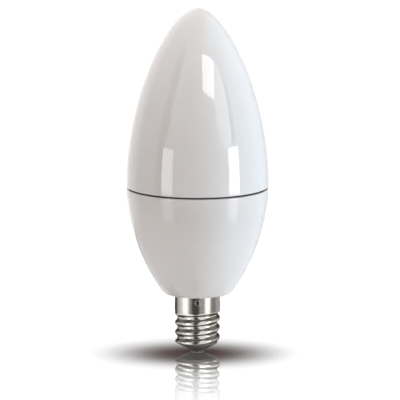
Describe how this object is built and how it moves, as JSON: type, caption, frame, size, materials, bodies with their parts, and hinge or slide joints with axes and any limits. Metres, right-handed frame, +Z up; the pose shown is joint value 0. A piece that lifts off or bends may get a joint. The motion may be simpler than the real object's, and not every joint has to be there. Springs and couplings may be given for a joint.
{
  "type": "led candle lamp",
  "caption": "Candle-shaped LED lamp: glossy milky diffuser dome on a white moulded housing, joined at a fine groove, with a small nickel-plated screw base and contact.",
  "frame": {"origin": "centre of the contact's face, the lamp's lowest point", "axes": "+Z up the lamp's axis from the contact to the diffuser's tip, -Y towards the picture's camera"},
  "size_m": [0.037, 0.037, 0.0904],
  "materials": {
    "milky_plastic": "gloss",
    "white_plastic": "semi-gloss",
    "shell_nickel": "polished",
    "insulator_plastic": "satin",
    "contact_metal": "satin"
  },
  "bodies": {
    "root": {"diffuser": "milky_plastic", "housing": "white_plastic", "screw_shell": "shell_nickel", "base_insulator": "insulator_plastic", "centre_contact": "contact_metal"}
  },
  "joints": []
}
